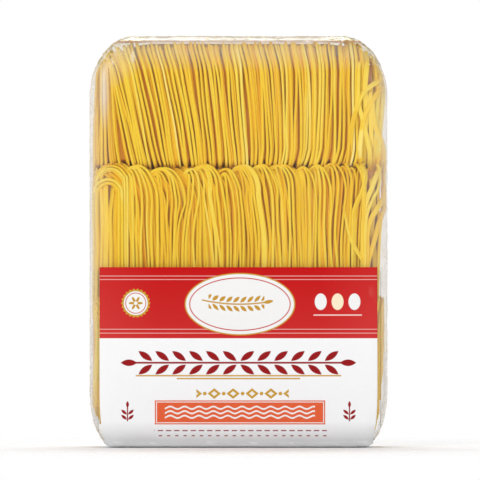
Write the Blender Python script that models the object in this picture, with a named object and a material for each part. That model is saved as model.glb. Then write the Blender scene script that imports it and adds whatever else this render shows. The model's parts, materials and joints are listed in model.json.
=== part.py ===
"""Sealed pack of dried egg noodles: three wound skeins on a kraft card, in clear film, with a paper label.

The pack stands on its bottom edge. X runs across it, Y from its front (negative) to its back, Z up.
The origin is at the middle of the footprint. All sizes are in metres.
"""
import math
import random

import bmesh
import bpy

# Driving dimensions of the whole pack
PACK_WIDTH = 0.146
PACK_DEPTH = 0.042
PACK_HEIGHT = 0.201
FIT_GAP = 0.0003

# Film envelope: a thin wall, with a window on the front that shows the noodles
LABEL_THICKNESS = 0.0005
FILM_WALL = 0.0008
FILM_SKIN = LABEL_THICKNESS + FIT_GAP
EDGE_RADIUS = 0.008
TOP_CORNER = (0.022, 0.030)
BOTTOM_CORNER = (0.0115, 0.026)
CORNER_STEPS = 6
EDGE_STEPS = 4
WINDOW_RIM = 0.0055
WINDOW_BOTTOM = 0.085

# Kraft card behind the noodles
CARD_WIDTH = 0.133
CARD_BOTTOM = 0.0058
CARD_TOP = 0.1976
CARD_THICKNESS = 0.0008
CARD_AIR = 0.0024
CARD_CORNER = 0.024

# Paper label: down the front, round the bottom edge and a little way up the back
LABEL_WIDTH = 0.136
LABEL_FRONT_TOP = 0.088
LABEL_BACK_TOP = 0.060
LABEL_CLIP = (0.0055, 0.0110)
LABEL_CUT_BOTTOM = -0.002

# Noodles, and the strands that show on each skein
NOODLE_WIDTH = 0.0022
NOODLE_THICKNESS = 0.0012
NOODLE_PITCH = 0.0040
NOODLE_LIFT = 0.0003
STRAND_DIP = 0.0012
STRAND_RUN = 0.0030
STRAND_WANDER = 0.0004
LEAN_WANDER = 0.015
SIDE_ROOM = 0.0010
SEED = 11

# Skein sections: depth and height of each corner of the core, and its radius
SKEIN_BACK = 0.0156
SKEIN_FRONT = 0.0183
SKEIN_TUCK = 0.0158
SKEIN_TOP = 0.1955
SKEIN_CORNER = (0.0195, 0.0255)
TOP_CORNER_SHARE = 0.985
BOTTOM_CORNER_SHARE = 0.97
STATION_SHARES = (0.55, 0.80, 1.05)
UPPER_JOIN = 0.1420
LOWER_JOIN = 0.0770
JOIN_DROP = 0.0160
JOIN_GAP = 0.0026
SKEIN_FLOOR = 0.0055
LOOP_RADIUS = 0.0065
TUCK_RADIUS = 0.0050
END_RADIUS = 0.0085
FLOOR_RADIUS = 0.0120
BACK_RADIUS = 0.0080
BEND_STEPS = 4
SIDE_LOOP_INSET = 0.0035

# Strands that arch over in front at both ends of the middle skein
ARCH_SPAN = 0.0250
ARCH_COUNT = 3
ARCH_TOP = 0.1365
ARCH_RISE = 0.0120
ARCH_FLATTENING = 0.8
ARCH_STEPS = 8

# By place across the pack: the slant of the strands, and how far the middle loops sweep left at their tops
UPPER_LEAN = ((-0.070, 0.08), (-0.062, -0.05), (-0.055, -0.20), (-0.040, -0.21), (0.0, -0.09),
              (0.040, 0.0), (0.070, 0.05))
MIDDLE_LEAN = ((-0.070, 0.0), (-0.045, -0.04), (0.0, -0.01), (0.070, 0.05))
TOP_SWEEP = ((-0.070, 0.0090), (-0.015, 0.0080), (0.010, 0.0060), (0.035, 0.0030), (0.060, 0.0))
SWEEP_HEIGHT = 0.0160


def srgb(red, green, blue):
    """Linear colour of a paint that looks like this on a screen."""
    return [((value / 255 + 0.055) / 1.055) ** 2.4 for value in (red, green, blue)] + [1.0]


def make_material(name, colour, roughness, alpha=1.0):
    material = bpy.data.materials.new(name)
    material.use_nodes = True
    shader = material.node_tree.nodes["Principled BSDF"]
    shader.inputs["Base Color"].default_value = colour
    shader.inputs["Roughness"].default_value = roughness
    shader.inputs["Metallic"].default_value = 0.0
    shader.inputs["Alpha"].default_value = alpha
    material.diffuse_color = colour
    return material


def new_object(name, data, collection):
    made = bpy.data.objects.new(name, data)
    collection.objects.link(made)
    return made


def new_collection(name):
    collection = bpy.data.collections.new(name)
    bpy.context.scene.collection.children.link(collection)
    return collection


def loft(name, rings, collection):
    """Closed skin through rings of equally many points, with a flat cap at each end."""
    shell = bmesh.new()
    loops = [[shell.verts.new(point) for point in ring] for ring in rings]
    for loop, after in zip(loops, loops[1:]):
        for index in range(len(loop)):
            left = index - 1
            shell.faces.new((loop[left], loop[index], after[index], after[left]))
    shell.faces.new(loops[0])
    shell.faces.new(loops[-1])
    bmesh.ops.recalc_face_normals(shell, faces=shell.faces)
    mesh = bpy.data.meshes.new(name)
    shell.to_mesh(mesh)
    shell.free()
    return new_object(name, mesh, collection)


def add_boolean(target, cutter, operation):
    """Cut or join, with the cutter kept as a hidden guide."""
    step = target.modifiers.new(operation.title(), "BOOLEAN")
    step.operation = operation
    step.solver = "EXACT"
    step.object = cutter
    cutter.hide_render = True
    cutter.display_type = "WIRE"


def bake_modifiers(target):
    """Replace the mesh by its evaluated form and drop the modifiers."""
    bpy.context.view_layer.update()
    graph = bpy.context.evaluated_depsgraph_get()
    baked = bpy.data.meshes.new_from_object(target.evaluated_get(graph))
    target.modifiers.clear()
    target.data = baked


def shade_round(target, angle=35):
    target.data.shade_smooth()
    target.data.set_sharp_from_angle(angle=math.radians(angle))


def corner_arc(centre, axes, start, steps):
    """Quarter of an ellipse, anticlockwise from the start angle in degrees."""
    points = []
    for step in range(steps + 1):
        angle = math.radians(start + 90 * step / steps)
        points.append((centre[0] + axes[0] * math.cos(angle), centre[1] + axes[1] * math.sin(angle)))
    return points


def pack_outline(inset):
    """Front outline of the film, as (x, z): tall round top corners and slim bottom ones."""
    side = PACK_WIDTH / 2 - inset
    top = PACK_HEIGHT - inset
    bottom = FILM_SKIN + inset
    high = [axis - inset / 2 for axis in TOP_CORNER]
    low = [axis - inset / 2 for axis in BOTTOM_CORNER]
    right_top = corner_arc((side - high[0], top - high[1]), high, 0, CORNER_STEPS)
    right_bottom = corner_arc((side - low[0], bottom + low[1]), low, 270, CORNER_STEPS)
    right = right_bottom + right_top
    left = [(-x, z) for x, z in reversed(right)]
    return right + left


def make_envelope(name, inset, collection):
    """The film's whole form, shrunk by the inset (or grown, where it is negative)."""
    half_depth = PACK_DEPTH / 2 - FILM_SKIN - inset
    radius = EDGE_RADIUS - inset
    rings = []
    for side in (-1, 1):
        half = []
        for step in range(EDGE_STEPS + 1):
            angle = math.radians(90 * step / EDGE_STEPS)
            depth = side * (half_depth - radius + radius * math.sin(angle))
            shrink = inset + radius * (1 - math.cos(angle))
            half.append([(x, depth, z) for x, z in pack_outline(shrink)])
        rings += half[::-1] if side < 0 else half
    return loft(name, rings, collection)


def make_film(collection, cutters, material):
    film = make_envelope("film_pack", 0.0, collection)
    hollow = make_envelope("film_hollow", FILM_WALL, cutters)
    add_boolean(film, hollow, "DIFFERENCE")
    opening = [(x, max(z, WINDOW_BOTTOM)) for x, z in pack_outline(WINDOW_RIM)]
    depths = (-PACK_DEPTH, -PACK_DEPTH / 2 + EDGE_RADIUS)
    window = loft("film_window", [[(x, y, z) for x, z in opening] for y in depths], cutters)
    bmesh_clean(window)
    add_boolean(film, window, "DIFFERENCE")
    film.data.materials.append(material)
    shade_round(film)
    return film


def bmesh_clean(target):
    """Merge the points that fell together and close the faces up again."""
    shell = bmesh.new()
    shell.from_mesh(target.data)
    bmesh.ops.remove_doubles(shell, verts=shell.verts, dist=1e-6)
    bmesh.ops.dissolve_degenerate(shell, edges=shell.edges, dist=1e-6)
    bmesh.ops.recalc_face_normals(shell, faces=shell.faces)
    shell.to_mesh(target.data)
    shell.free()


def make_card(collection, material):
    """Flat board with large round corners, just inside the back film."""
    outline = bpy.data.curves.new("backing_card", "CURVE")
    outline.dimensions = "2D"
    outline.fill_mode = "BOTH"
    outline.extrude = CARD_THICKNESS / 2
    half_width = CARD_WIDTH / 2
    half_height = (CARD_TOP - CARD_BOTTOM) / 2
    points = []
    for turn, (right, up) in enumerate(((1, 1), (-1, 1), (-1, -1), (1, -1))):
        radius = CARD_CORNER if up > 0 else CARD_CORNER / 2
        centre = (right * (half_width - radius), up * (half_height - radius))
        points += corner_arc(centre, (radius, radius), 90 * turn, CORNER_STEPS)
    spline = outline.splines.new("POLY")
    spline.points.add(len(points) - 1)
    for spot, (x, z) in zip(spline.points, points):
        spot.co = (x, z, 0, 1)
    spline.use_cyclic_u = True
    card = new_object("backing_card", outline, collection)
    back_film = PACK_DEPTH / 2 - FILM_SKIN - FILM_WALL
    card.location = (0, back_film - CARD_AIR - CARD_THICKNESS / 2, CARD_BOTTOM + half_height)
    card.rotation_euler = (math.radians(90), 0, 0)
    return curve_to_mesh(card, collection, material)


def curve_to_mesh(curve_object, collection, material=None):
    """Mesh with welded caps in the curve's place."""
    bpy.context.view_layer.update()
    graph = bpy.context.evaluated_depsgraph_get()
    mesh = bpy.data.meshes.new_from_object(curve_object.evaluated_get(graph))
    shell = bmesh.new()
    shell.from_mesh(mesh)
    bmesh.ops.remove_doubles(shell, verts=shell.verts, dist=1e-6)
    bmesh.ops.recalc_face_normals(shell, faces=shell.faces)
    shell.to_mesh(mesh)
    shell.free()
    name = curve_object.name
    place = curve_object.matrix_world.copy()
    curve = curve_object.data
    bpy.data.objects.remove(curve_object)
    bpy.data.curves.remove(curve)
    made = new_object(name, mesh, collection)
    made.matrix_world = place
    mesh.materials.clear()
    if material:
        mesh.materials.append(material)
    return made


def make_label(collection, cutters, material):
    """Sheet that lies on the film: the film's form grown twice, less all but the label's cut."""
    label = make_envelope("label", -FILM_SKIN, collection)
    inner = make_envelope("label_inner", -FIT_GAP, cutters)
    add_boolean(label, inner, "DIFFERENCE")
    side = LABEL_WIDTH / 2
    clip, rise = LABEL_CLIP
    right = [(side - clip, LABEL_CUT_BOTTOM), (side - clip, 0.0), (side, rise), (side, LABEL_FRONT_TOP)]
    cut = right + [(-x, z) for x, z in reversed(right)]
    depths = (-PACK_DEPTH, PACK_DEPTH)
    blank = loft("label_cut", [[(x, y, z) for x, z in cut] for y in depths], cutters)
    add_boolean(label, blank, "INTERSECT")
    bpy.ops.mesh.primitive_cube_add(size=1.0)
    back = bpy.context.active_object
    back.name = "label_back_cut"
    back.scale = (2 * PACK_WIDTH, PACK_DEPTH, LABEL_FRONT_TOP)
    back.location = (0, PACK_DEPTH / 2 + EDGE_RADIUS / 2, LABEL_BACK_TOP + LABEL_FRONT_TOP / 2)
    for owner in list(back.users_collection):
        owner.objects.unlink(back)
    cutters.objects.link(back)
    add_boolean(label, back, "DIFFERENCE")
    label.data.materials.append(material)
    shade_round(label)
    return label


def end_drop(x):
    """How far the skein's faces lie back at x, where the pack's side edges are round."""
    reach = abs(x) - (PACK_WIDTH / 2 - FILM_WALL - SIDE_ROOM - EDGE_RADIUS)
    reach = min(max(reach, 0.0), EDGE_RADIUS)
    return EDGE_RADIUS - math.sqrt(EDGE_RADIUS ** 2 - reach ** 2)


def corner_height(x, axes, limit):
    """Height of a corner's curve at x: how far it stands in from the flat top or bottom."""
    reach = abs(x) - (PACK_WIDTH / 2 - FILM_WALL - SIDE_ROOM - axes[0])
    share = min(max(reach / axes[0], 0.0), limit)
    return axes[1] * (1 - math.sqrt(1 - share ** 2))


def skein_corners(place, x):
    """Corners (y, z, radius) of a skein's section at x, from the back top round by the front."""
    drop = end_drop(x)
    front = -(SKEIN_FRONT - drop)
    tuck = -(SKEIN_TUCK - drop)
    back = SKEIN_BACK - drop
    joins = {"middle": UPPER_JOIN, "lower": LOWER_JOIN}
    corners = []
    if place == "upper":
        top = SKEIN_TOP - corner_height(x, SKEIN_CORNER, TOP_CORNER_SHARE)
        corners += [(back, top, END_RADIUS), (front, top, END_RADIUS)]
    else:
        top = joins[place]
        corners += [(back, top - JOIN_DROP, BACK_RADIUS), (front, top, LOOP_RADIUS)]
    if place == "lower":
        floor = SKEIN_FLOOR + corner_height(x, BOTTOM_CORNER, BOTTOM_CORNER_SHARE)
        corners += [(front, floor, FLOOR_RADIUS), (back, floor, END_RADIUS)]
    else:
        under = (UPPER_JOIN if place == "upper" else LOWER_JOIN) + JOIN_GAP
        corners += [(tuck, under, TUCK_RADIUS), (back, under - JOIN_DROP, BACK_RADIUS)]
    return corners


def round_section(corners, lift, steps):
    """Closed outline (y, z) round the corners, each bend an arc, moved outwards by the lift."""
    outline = []
    count = len(corners)
    for index, (y, z, radius) in enumerate(corners):
        before = corners[index - 1]
        after = corners[(index + 1) % count]
        arm_in = math.atan2(y - before[0], z - before[1])
        arm_out = math.atan2(after[0] - y, after[1] - z)
        turn = (arm_out - arm_in + math.pi) % (2 * math.pi) - math.pi
        sign = math.copysign(1.0, turn)
        tangent = radius * math.tan(abs(turn) / 2)
        start = (y - tangent * math.sin(arm_in), z - tangent * math.cos(arm_in))
        centre = (start[0] + sign * radius * math.cos(arm_in), start[1] - sign * radius * math.sin(arm_in))
        for step in range(steps + 1):
            heading = arm_in + turn * step / steps
            reach = radius + lift
            outline.append((centre[0] - sign * reach * math.cos(heading),
                            centre[1] + sign * reach * math.sin(heading)))
    return outline


def section_at(place, x, lift=0.0, steps=BEND_STEPS):
    return round_section(skein_corners(place, x), lift, steps)


def make_core(name, place, collection):
    """The skein's inner mass, lofted across the pack through its sections."""
    side = PACK_WIDTH / 2 - FILM_WALL - 2 * SIDE_ROOM
    stations = [side - EDGE_RADIUS * (1 - math.sin(math.radians(angle))) for angle in (90, 60, 35, 0)]
    stations += [side - SKEIN_CORNER[0] * share for share in STATION_SHARES]
    stations = [-x for x in stations] + stations[::-1]
    rings = [[(x, y, z) for y, z in section_at(place, x)] for x in sorted(stations)]
    return loft(name, rings, collection)


def make_noodle_profile(collection):
    """Flat four-sided section that every strand follows."""
    curve = bpy.data.curves.new("noodle_profile", "CURVE")
    curve.dimensions = "2D"
    spline = curve.splines.new("POLY")
    spline.points.add(3)
    half_width = NOODLE_WIDTH / 2
    half_thickness = NOODLE_THICKNESS / 2
    for spot, (right, out) in zip(spline.points, ((-1, -1), (1, -1), (1, 1), (-1, 1))):
        spot.co = (right * half_width, out * half_thickness, 0, 1)
    spline.use_cyclic_u = True
    profile = new_object("noodle_profile", curve, collection)
    profile.hide_render = True
    return profile


def make_strand(name, points, profile, collection, closed=False):
    curve = bpy.data.curves.new(name, "CURVE")
    curve.dimensions = "3D"
    curve.bevel_mode = "OBJECT"
    curve.bevel_object = profile
    curve.use_fill_caps = not closed
    spline = curve.splines.new("POLY")
    spline.points.add(len(points) - 1)
    for spot, point in zip(spline.points, points):
        spot.co = (*point, 1)
    spline.use_cyclic_u = closed
    return curve_to_mesh(new_object(name, curve, collection), collection)


def blend_pairs(pairs, x):
    """Straight-line reading of a value between (place, value) pairs."""
    for (left, low), (right, high) in zip(pairs, pairs[1:]):
        if x <= right:
            share = min(max((x - left) / (right - left), 0.0), 1.0)
            return low + share * (high - low)
    return pairs[-1][1]


def sweep_left(place, x, z, top):
    """How far a middle loop has swept left at height z: a quarter turn up to its top."""
    if place != "middle":
        return 0.0
    share = min(max((z - top) / SWEEP_HEIGHT + 1, 0.0), 1.0)
    return blend_pairs(TOP_SWEEP, x) * (1 - math.sqrt(1 - share ** 2))


def strand_path(place, x, lean):
    """Over the top, down the front and under: the strand's ends dip into the core."""
    bend = BEND_STEPS + 1
    limit = PACK_WIDTH / 2 - FILM_WALL - 3 * SIDE_ROOM - NOODLE_WIDTH
    upright = section_at(place, x, NOODLE_LIFT)
    top = upright[bend][1]
    middle = (top + upright[3 * bend - 1][1]) / 2
    points = []
    for index in range(bend, 3 * bend):
        height = upright[index][1]
        shifted = x + lean * (height - middle) - sweep_left(place, x, height, top)
        shifted = max(-limit, min(limit, shifted))
        y, z = section_at(place, shifted, NOODLE_LIFT)[index]
        points.append((shifted, y, z))
    if place == "middle":
        height = top - SWEEP_HEIGHT
        shifted = x + lean * (height - middle)
        points.insert(bend, (shifted, front_at(place, shifted, height), height))
    back_top, front_top, front_low, back_low = skein_corners(place, x)
    top_slope = (back_top[1] - front_top[1]) / (back_top[0] - front_top[0])
    low_slope = (back_low[1] - front_low[1]) / (back_low[0] - front_low[0])
    x_top, y_top, z_top = points[0]
    x_low, y_low, z_low = points[-1]
    start = (x_top, y_top + STRAND_RUN, z_top + STRAND_RUN * top_slope - STRAND_DIP)
    end = (x_low, y_low + STRAND_RUN, z_low + STRAND_RUN * low_slope + STRAND_DIP)
    return [start] + points + [end]


def front_at(place, x, z):
    """Depth of the skein's front at x and height z, read along the section's front side."""
    bend = BEND_STEPS + 1
    outline = section_at(place, x, NOODLE_LIFT)[bend:3 * bend]
    for (y_above, above), (y_below, below) in zip(outline, outline[1:]):
        if below <= z <= above and above > below:
            share = (z - below) / (above - below)
            return y_below + share * (y_above - y_below)
    return outline[-1][0]


def arch_path(inner, outer, top, rise, foot):
    """One strand in the front plane: up a leg, over in a half ellipse and down the other leg."""
    centre = (inner + outer) / 2
    half = (outer - inner) / 2
    base = top - rise
    flat = [(inner, foot), (inner, base)]
    for step in range(1, ARCH_STEPS):
        angle = math.pi * (1 - step / ARCH_STEPS)
        flat.append((centre + half * math.cos(angle), base + rise * math.sin(angle)))
    flat += [(outer, base), (outer, foot)]
    return [(x, front_at("middle", x, z), z) for x, z in flat]


def add_arches(profile, collection):
    """Nested arches at each end of the middle skein, with one upright strand inside them."""
    outer = PACK_WIDTH / 2 - FILM_WALL - 3 * SIDE_ROOM - NOODLE_WIDTH
    foot = LOWER_JOIN + JOIN_GAP + TUCK_RADIUS
    for side in (-1, 1):
        for number in range(ARCH_COUNT):
            step = number * NOODLE_PITCH
            outside = side * (outer - step)
            inside = side * (outer - ARCH_SPAN + step)
            path = arch_path(inside, outside, ARCH_TOP - step, ARCH_RISE - step * ARCH_FLATTENING, foot)
            make_strand(f"arch_{side}_{number}", path, profile, collection)


def add_side_loops(place, profile, collection):
    """One wound strand round each end face of a skein."""
    side = PACK_WIDTH / 2 - FILM_WALL - 2 * SIDE_ROOM
    outline = section_at(place, side, -SIDE_LOOP_INSET)
    for end in (-1, 1):
        points = [(end * side, y, z) for y, z in outline]
        make_strand(f"{place}_side_loop_{end}", points, profile, collection, closed=True)


def strand_rows(place, rng):
    """Places of the strands across a skein, leaving the middle skein's ends to its arches."""
    reach = PACK_WIDTH / 2 - FILM_WALL - 3 * SIDE_ROOM - NOODLE_WIDTH
    if place == "lower":
        reach -= NOODLE_WIDTH
        return [-reach, -reach + NOODLE_PITCH, reach - NOODLE_PITCH, reach]
    if place == "middle":
        reach -= ARCH_SPAN + NOODLE_PITCH
    count = int(2 * reach / NOODLE_PITCH)
    even = [-reach + 2 * reach * index / count for index in range(count + 1)]
    return [x + rng.uniform(-STRAND_WANDER, STRAND_WANDER) for x in even]


def make_skein(place, collection, material):
    name = "skein_" + place
    rng = random.Random(SEED + len(place))
    core = make_core(name, place, collection)
    strands = new_collection(name + "_strands")
    profile = make_noodle_profile(strands)
    for number, x in enumerate(strand_rows(place, rng)):
        lean = blend_pairs(UPPER_LEAN if place == "upper" else MIDDLE_LEAN, x)
        lean += rng.uniform(-LEAN_WANDER, LEAN_WANDER)
        make_strand(f"{name}_strand_{number:02d}", strand_path(place, x, lean), profile, strands)
    if place == "middle":
        add_arches(profile, strands)
    if place != "lower":
        add_side_loops(place, profile, strands)
    bpy.data.curves.remove(profile.data)
    union = core.modifiers.new("Fuse strands", "BOOLEAN")
    union.operation = "UNION"
    union.operand_type = "COLLECTION"
    union.collection = strands
    union.solver = "EXACT"
    bake_modifiers(core)
    for strand in list(strands.objects):
        bpy.data.objects.remove(strand)
    bpy.data.collections.remove(strands)
    core.data.materials.clear()
    core.data.materials.append(material)
    shade_round(core)
    return core


def main():
    for leftover in list(bpy.data.objects):
        bpy.data.objects.remove(leftover)
    parts = new_collection("noodle_pack")
    cutters = new_collection("cutters")
    clear_film = make_material("clear_film", srgb(236, 238, 236), 0.12, alpha=0.25)
    kraft_card = make_material("kraft_card", srgb(190, 148, 100), 0.85)
    egg_noodle = make_material("egg_noodle", srgb(226, 180, 54), 0.60)
    label_paper = make_material("label_paper", srgb(242, 242, 240), 0.45)
    make_film(parts, cutters, clear_film)
    make_card(parts, kraft_card)
    for place in ("upper", "middle", "lower"):
        make_skein(place, parts, egg_noodle)
    make_label(parts, cutters, label_paper)


main()
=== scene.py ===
import json
import random
from math import atan2, copysign, cos, hypot, pi, radians, sin, sqrt, tan

import bpy
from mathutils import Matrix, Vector, noise

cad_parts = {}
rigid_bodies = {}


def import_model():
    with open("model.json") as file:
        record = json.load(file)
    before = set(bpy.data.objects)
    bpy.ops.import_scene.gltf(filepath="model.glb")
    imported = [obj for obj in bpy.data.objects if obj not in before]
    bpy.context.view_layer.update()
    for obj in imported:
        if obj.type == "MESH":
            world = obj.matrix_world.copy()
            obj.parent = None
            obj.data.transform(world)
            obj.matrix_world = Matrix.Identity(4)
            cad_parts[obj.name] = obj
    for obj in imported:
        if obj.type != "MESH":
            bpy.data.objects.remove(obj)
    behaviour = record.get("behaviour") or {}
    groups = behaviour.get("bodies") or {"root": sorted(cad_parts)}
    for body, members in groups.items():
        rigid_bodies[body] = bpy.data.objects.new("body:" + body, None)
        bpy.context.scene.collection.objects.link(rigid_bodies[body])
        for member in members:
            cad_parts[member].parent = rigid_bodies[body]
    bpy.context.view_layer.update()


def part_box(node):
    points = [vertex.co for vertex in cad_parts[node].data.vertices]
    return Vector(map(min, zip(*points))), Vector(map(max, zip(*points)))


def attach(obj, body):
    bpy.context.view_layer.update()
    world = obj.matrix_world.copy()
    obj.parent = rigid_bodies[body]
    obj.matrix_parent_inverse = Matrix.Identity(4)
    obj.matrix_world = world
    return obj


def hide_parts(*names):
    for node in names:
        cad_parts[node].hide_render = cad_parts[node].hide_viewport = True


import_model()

# Sizes that follow from the frame, in metres
FILM_LOW, FILM_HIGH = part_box("film_pack")
LABEL_LOW, LABEL_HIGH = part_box("label")
CARD_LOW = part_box("backing_card")[0]
HALF_WIDTH = FILM_HIGH.x
HALF_DEPTH = FILM_HIGH.y
PACK_BOTTOM = FILM_LOW.z
PACK_TOP = FILM_HIGH.z
PACK_MIDDLE = (PACK_TOP + PACK_BOTTOM) / 2
HALF_HEIGHT = (PACK_TOP - PACK_BOTTOM) / 2

# Film: its round edges and corners, as in the solid, and how far it stays inside them
EDGE_RADIUS = 0.008
TOP_CORNER = (0.022, 0.03)
BOTTOM_CORNER = (0.0115, 0.026)
FLAT_DEPTH = HALF_DEPTH - EDGE_RADIUS
FILM_INSET = 0.0002
FLOOR_SLACK = 0.0003
DEPTH_SLACK = 0.0001
FILM_CUTS = 110
FOLD_DEPTH = 0.00075
WAVE_DEPTH = 0.00012

# Skein sections, as in the solids but for the upper one's lower foot
FILM_WALL = 0.0008
SIDE_ROOM = 0.001
SKEIN_HALF = HALF_WIDTH - FILM_WALL - SIDE_ROOM
SKEIN_BACK = 0.0156
SKEIN_FRONT = 0.0183
SKEIN_TUCK = 0.0158
SKEIN_TOP = 0.1955
SKEIN_CORNER = (0.0195, 0.0255)
TOP_SHARE = 0.985
FLOOR_SHARE = 0.97
UPPER_JOIN = 0.142
LOWER_JOIN = 0.077
JOIN_DROP = 0.016
JOIN_GAP = 0.0026
FOOT_DROP = 0.0056
SKEIN_FLOOR = 0.0055
LOOP_RADIUS = 0.0065
TUCK_RADIUS = 0.0036
END_RADIUS = 0.0085
FLOOR_RADIUS = 0.012
BACK_RADIUS = 0.008
LEAST_BEND = 0.0008
BEND_POINTS = 5
FRONT_POINTS = 10
BACK_POINTS = 5
END_POINTS = 3
ROW_STEP = 0.002
ROW_MARGIN = 0.001

# Noodles, and how they are wound
SEED = 5
NOODLE_WIDTH = 0.00252
NOODLE_THICKNESS = 0.00115
NOODLE_CORNERS = ((1.0, 0.45), (0.8, 1.0), (-0.8, 1.0), (-1.0, 0.45))
NOODLE_PITCH = 0.00212
TOP_LIFT = 0.0003
LAYER_STEP = 0.001
MIDDLE_UNDER = 0.0014
FULL_REACH = 0.0692
UPPER_END = 0.0585
CORNER_RISE = 0.003
MIDDLE_SINK = 0.0018
OPEN_START = -0.058
OPEN_END = 0.06
OPEN_PITCH = 1.8
SKEIN_GAPS = {"upper": (0.0648,), "middle": (0.0648, -0.0628, 0.0672), "lower": ()}
HALF_GAP = 0.002
END_RINGS = 8
END_RING_STEP = 0.0016
END_RING_SPREAD = 0.0007
END_RING_WANDER = 0.0004

# Room that the strands keep to the film and the card
STRAND_ROOM = 0.0032
LAID_ROOM = 0.0023
FILM_ROOM = 0.0018
CORNER_ROOM = 0.0027
CARD_ROOM = 0.0009

# Cores, and painted shade: how much deeper in tone the cores and the strands behind are painted, and the
# loose strands' lighter tone
CORE_REACHES = (0.06, 0.065, 0.0685)
CORE_DEPTH = {"upper": 0.002, "middle": 0.0024, "lower": 0.0024}
CORE_BEND_POINTS = 4
CORE_SHADE_TONE = -6.0
LOWEST_TONE = -3.5
TONE_SPREAD = 0.9
LAYER_SHADE = 0.8
LOOSE_SHADE = -0.7

# Label: a sheet on a loose wrap round the pack's bottom, pressed onto the film afterwards
LABEL_WIDTH = LABEL_HIGH.x - LABEL_LOW.x
LABEL_FRONT_TOP = LABEL_HIGH.z
LABEL_BACK_TOP = 0.06
LABEL_PAPER = 0.0003
LABEL_STANDOFF = 0.00012
LABEL_COLUMNS = 110
LABEL_ROWS = 170
WRAP_REACH = HALF_DEPTH + 0.0012
WRAP_RADIUS = EDGE_RADIUS + 0.001
WRAP_LOW = -0.0008
WRAP_FRONT = LABEL_FRONT_TOP - WRAP_RADIUS - WRAP_LOW
WRAP_BEND = pi * WRAP_RADIUS / 2
WRAP_FLAT = 2 * (WRAP_REACH - WRAP_RADIUS)
PRINT_EDGE = 0.00025

# Photograph frame: 480 pixels square, at this many pixels to the metre on the pack's front
PHOTO_SIZE = 480
PHOTO_SCALE = 2050.0
PHOTO_MIDDLE = 238.5
PHOTO_FLOOR = 447.5
CAMERA_DISTANCE = 4.0
SENSOR_WIDTH = 36.0

# Studio: softboxes with their places, sizes and powers
STAGE_RADIUS = 0.45
STAGE_SIDES = 96
OVERHEAD_LIGHT = 0.55
LIGHT_AIM = (0, 0, 0.1)
SOFTBOXES = (
    ("key", (-0.65, -1.15, 0.8), (0.6, 0.6), 5.0),
    ("front", (0.45, -1.6, 0.35), (0.9, 0.7), 2.5),
    ("top", (0.0, 0.3, 0.95), (0.6, 0.4), 4.2),
)


def srgb(red, green, blue):
    """Linear colour of a paint that looks like this on a screen."""
    return tuple(((value / 255 + 0.055) / 1.055) ** 2.4 for value in (red, green, blue)) + (1.0,)


RED = srgb(194, 14, 16)
SOFT_RED = srgb(206, 56, 54)
DEEP_RED = srgb(150, 22, 26)
ORANGE = srgb(226, 98, 58)
GOLD = srgb(200, 155, 56)
WHEAT_GOLD = srgb(196, 148, 52)
PAPER_WHITE = srgb(240, 240, 239)
PALE_PINK = srgb(244, 206, 200)
CREAM = srgb(248, 232, 200)


def make_active(piece):
    bpy.ops.object.select_all(action="DESELECT")
    piece.select_set(True)
    bpy.context.view_layer.objects.active = piece


def add_primitive(name, add, **settings):
    """A new primitive, with nothing else selected."""
    bpy.ops.object.select_all(action="DESELECT")
    add(**settings)
    bpy.context.object.name = name
    return bpy.context.object


def apply_all(piece):
    make_active(piece)
    for modifier in list(piece.modifiers):
        bpy.ops.object.modifier_apply(modifier=modifier.name)


def edit_all(piece, work, **settings):
    """Run one mesh operator on the whole of a piece."""
    make_active(piece)
    bpy.ops.object.mode_set(mode="EDIT")
    bpy.ops.mesh.select_all(action="SELECT")
    work(**settings)
    bpy.ops.object.mode_set(mode="OBJECT")


def within(value, limit):
    return max(-limit, min(limit, value))


def drift(*place):
    """Smooth wandering value, from -1 to 1."""
    return noise.noise(Vector(place))


def ramp(value, low, high):
    share = min(max((value - low) / (high - low), 0.0), 1.0)
    return share * share * (3 - 2 * share)


def blend_pairs(pairs, x):
    """Straight-line reading of a value between (place, value) pairs."""
    for (left, low), (right, high) in zip(pairs, pairs[1:]):
        if x <= right:
            share = min(max((x - left) / (right - left), 0.0), 1.0)
            return low + share * (high - low)
    return pairs[-1][1]


# Shader writing

def arithmetic(operation, turned=False):
    """An operator for wires, which adds a Math node."""
    def work(self, other):
        return self.math(operation, other, self) if turned else self.math(operation, self, other)
    return work


class Wire:
    """A socket that takes part in arithmetic."""

    __add__ = arithmetic("ADD")
    __radd__ = arithmetic("ADD", True)
    __sub__ = arithmetic("SUBTRACT")
    __rsub__ = arithmetic("SUBTRACT", True)
    __mul__ = arithmetic("MULTIPLY")
    __rmul__ = arithmetic("MULTIPLY", True)
    __truediv__ = arithmetic("DIVIDE")
    __mod__ = arithmetic("FLOORED_MODULO")
    __pow__ = arithmetic("POWER")
    least = arithmetic("MINIMUM")
    most = arithmetic("MAXIMUM")

    def __init__(self, paint, socket):
        self.paint = paint
        self.socket = socket

    def __getitem__(self, name):
        return Wire(self.paint, self.socket.node.outputs[name])

    def __abs__(self):
        return self.alone("ABSOLUTE")

    def math(self, operation, first, second=0.0):
        return self.paint.node("ShaderNodeMath", {"operation": operation}, {0: first, 1: second})

    def alone(self, operation):
        return self.math(operation, self)

    def clamp(self):
        settings = {"operation": "ADD", "use_clamp": True}
        return self.paint.node("ShaderNodeMath", settings, {0: self, 1: 0.0})


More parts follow.
